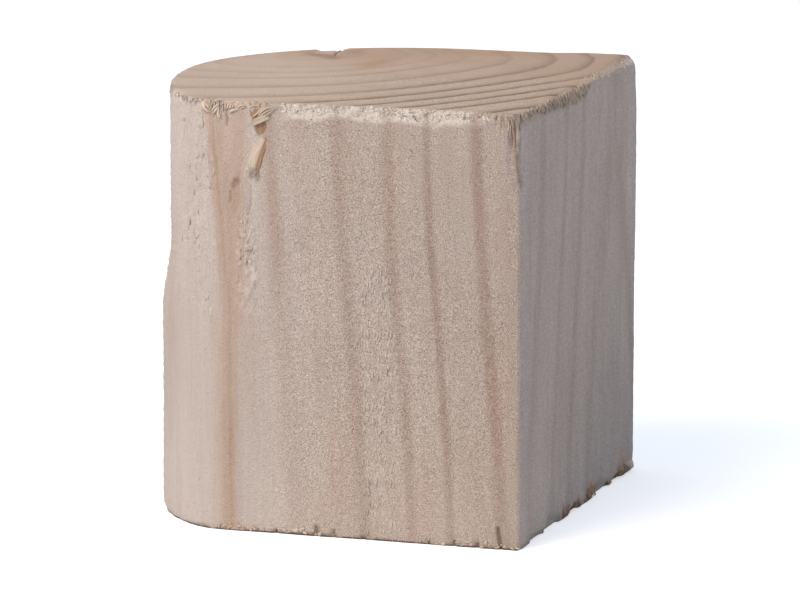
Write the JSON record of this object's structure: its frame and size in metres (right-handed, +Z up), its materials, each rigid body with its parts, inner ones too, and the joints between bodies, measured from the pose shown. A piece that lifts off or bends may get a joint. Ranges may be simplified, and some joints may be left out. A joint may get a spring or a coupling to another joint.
{
  "type": "wooden cube",
  "caption": "Small rough-sawn softwood block with flat sawn sides, a flank left round from the log, and crosscut ends to stand it on.",
  "frame": {"origin": "middle of the flat base, centred on the block's width and depth", "axes": "+Z up along the grain, +X toward the sawn right face, -Y toward the sawn front face"},
  "size_m": [0.0624, 0.06, 0.0642],
  "materials": {
    "raw_softwood": "rough-sawn and bare, with torn fibres along the edges"
  },
  "bodies": {
    "root": {"wood_block": "raw_softwood"}
  },
  "joints": []
}
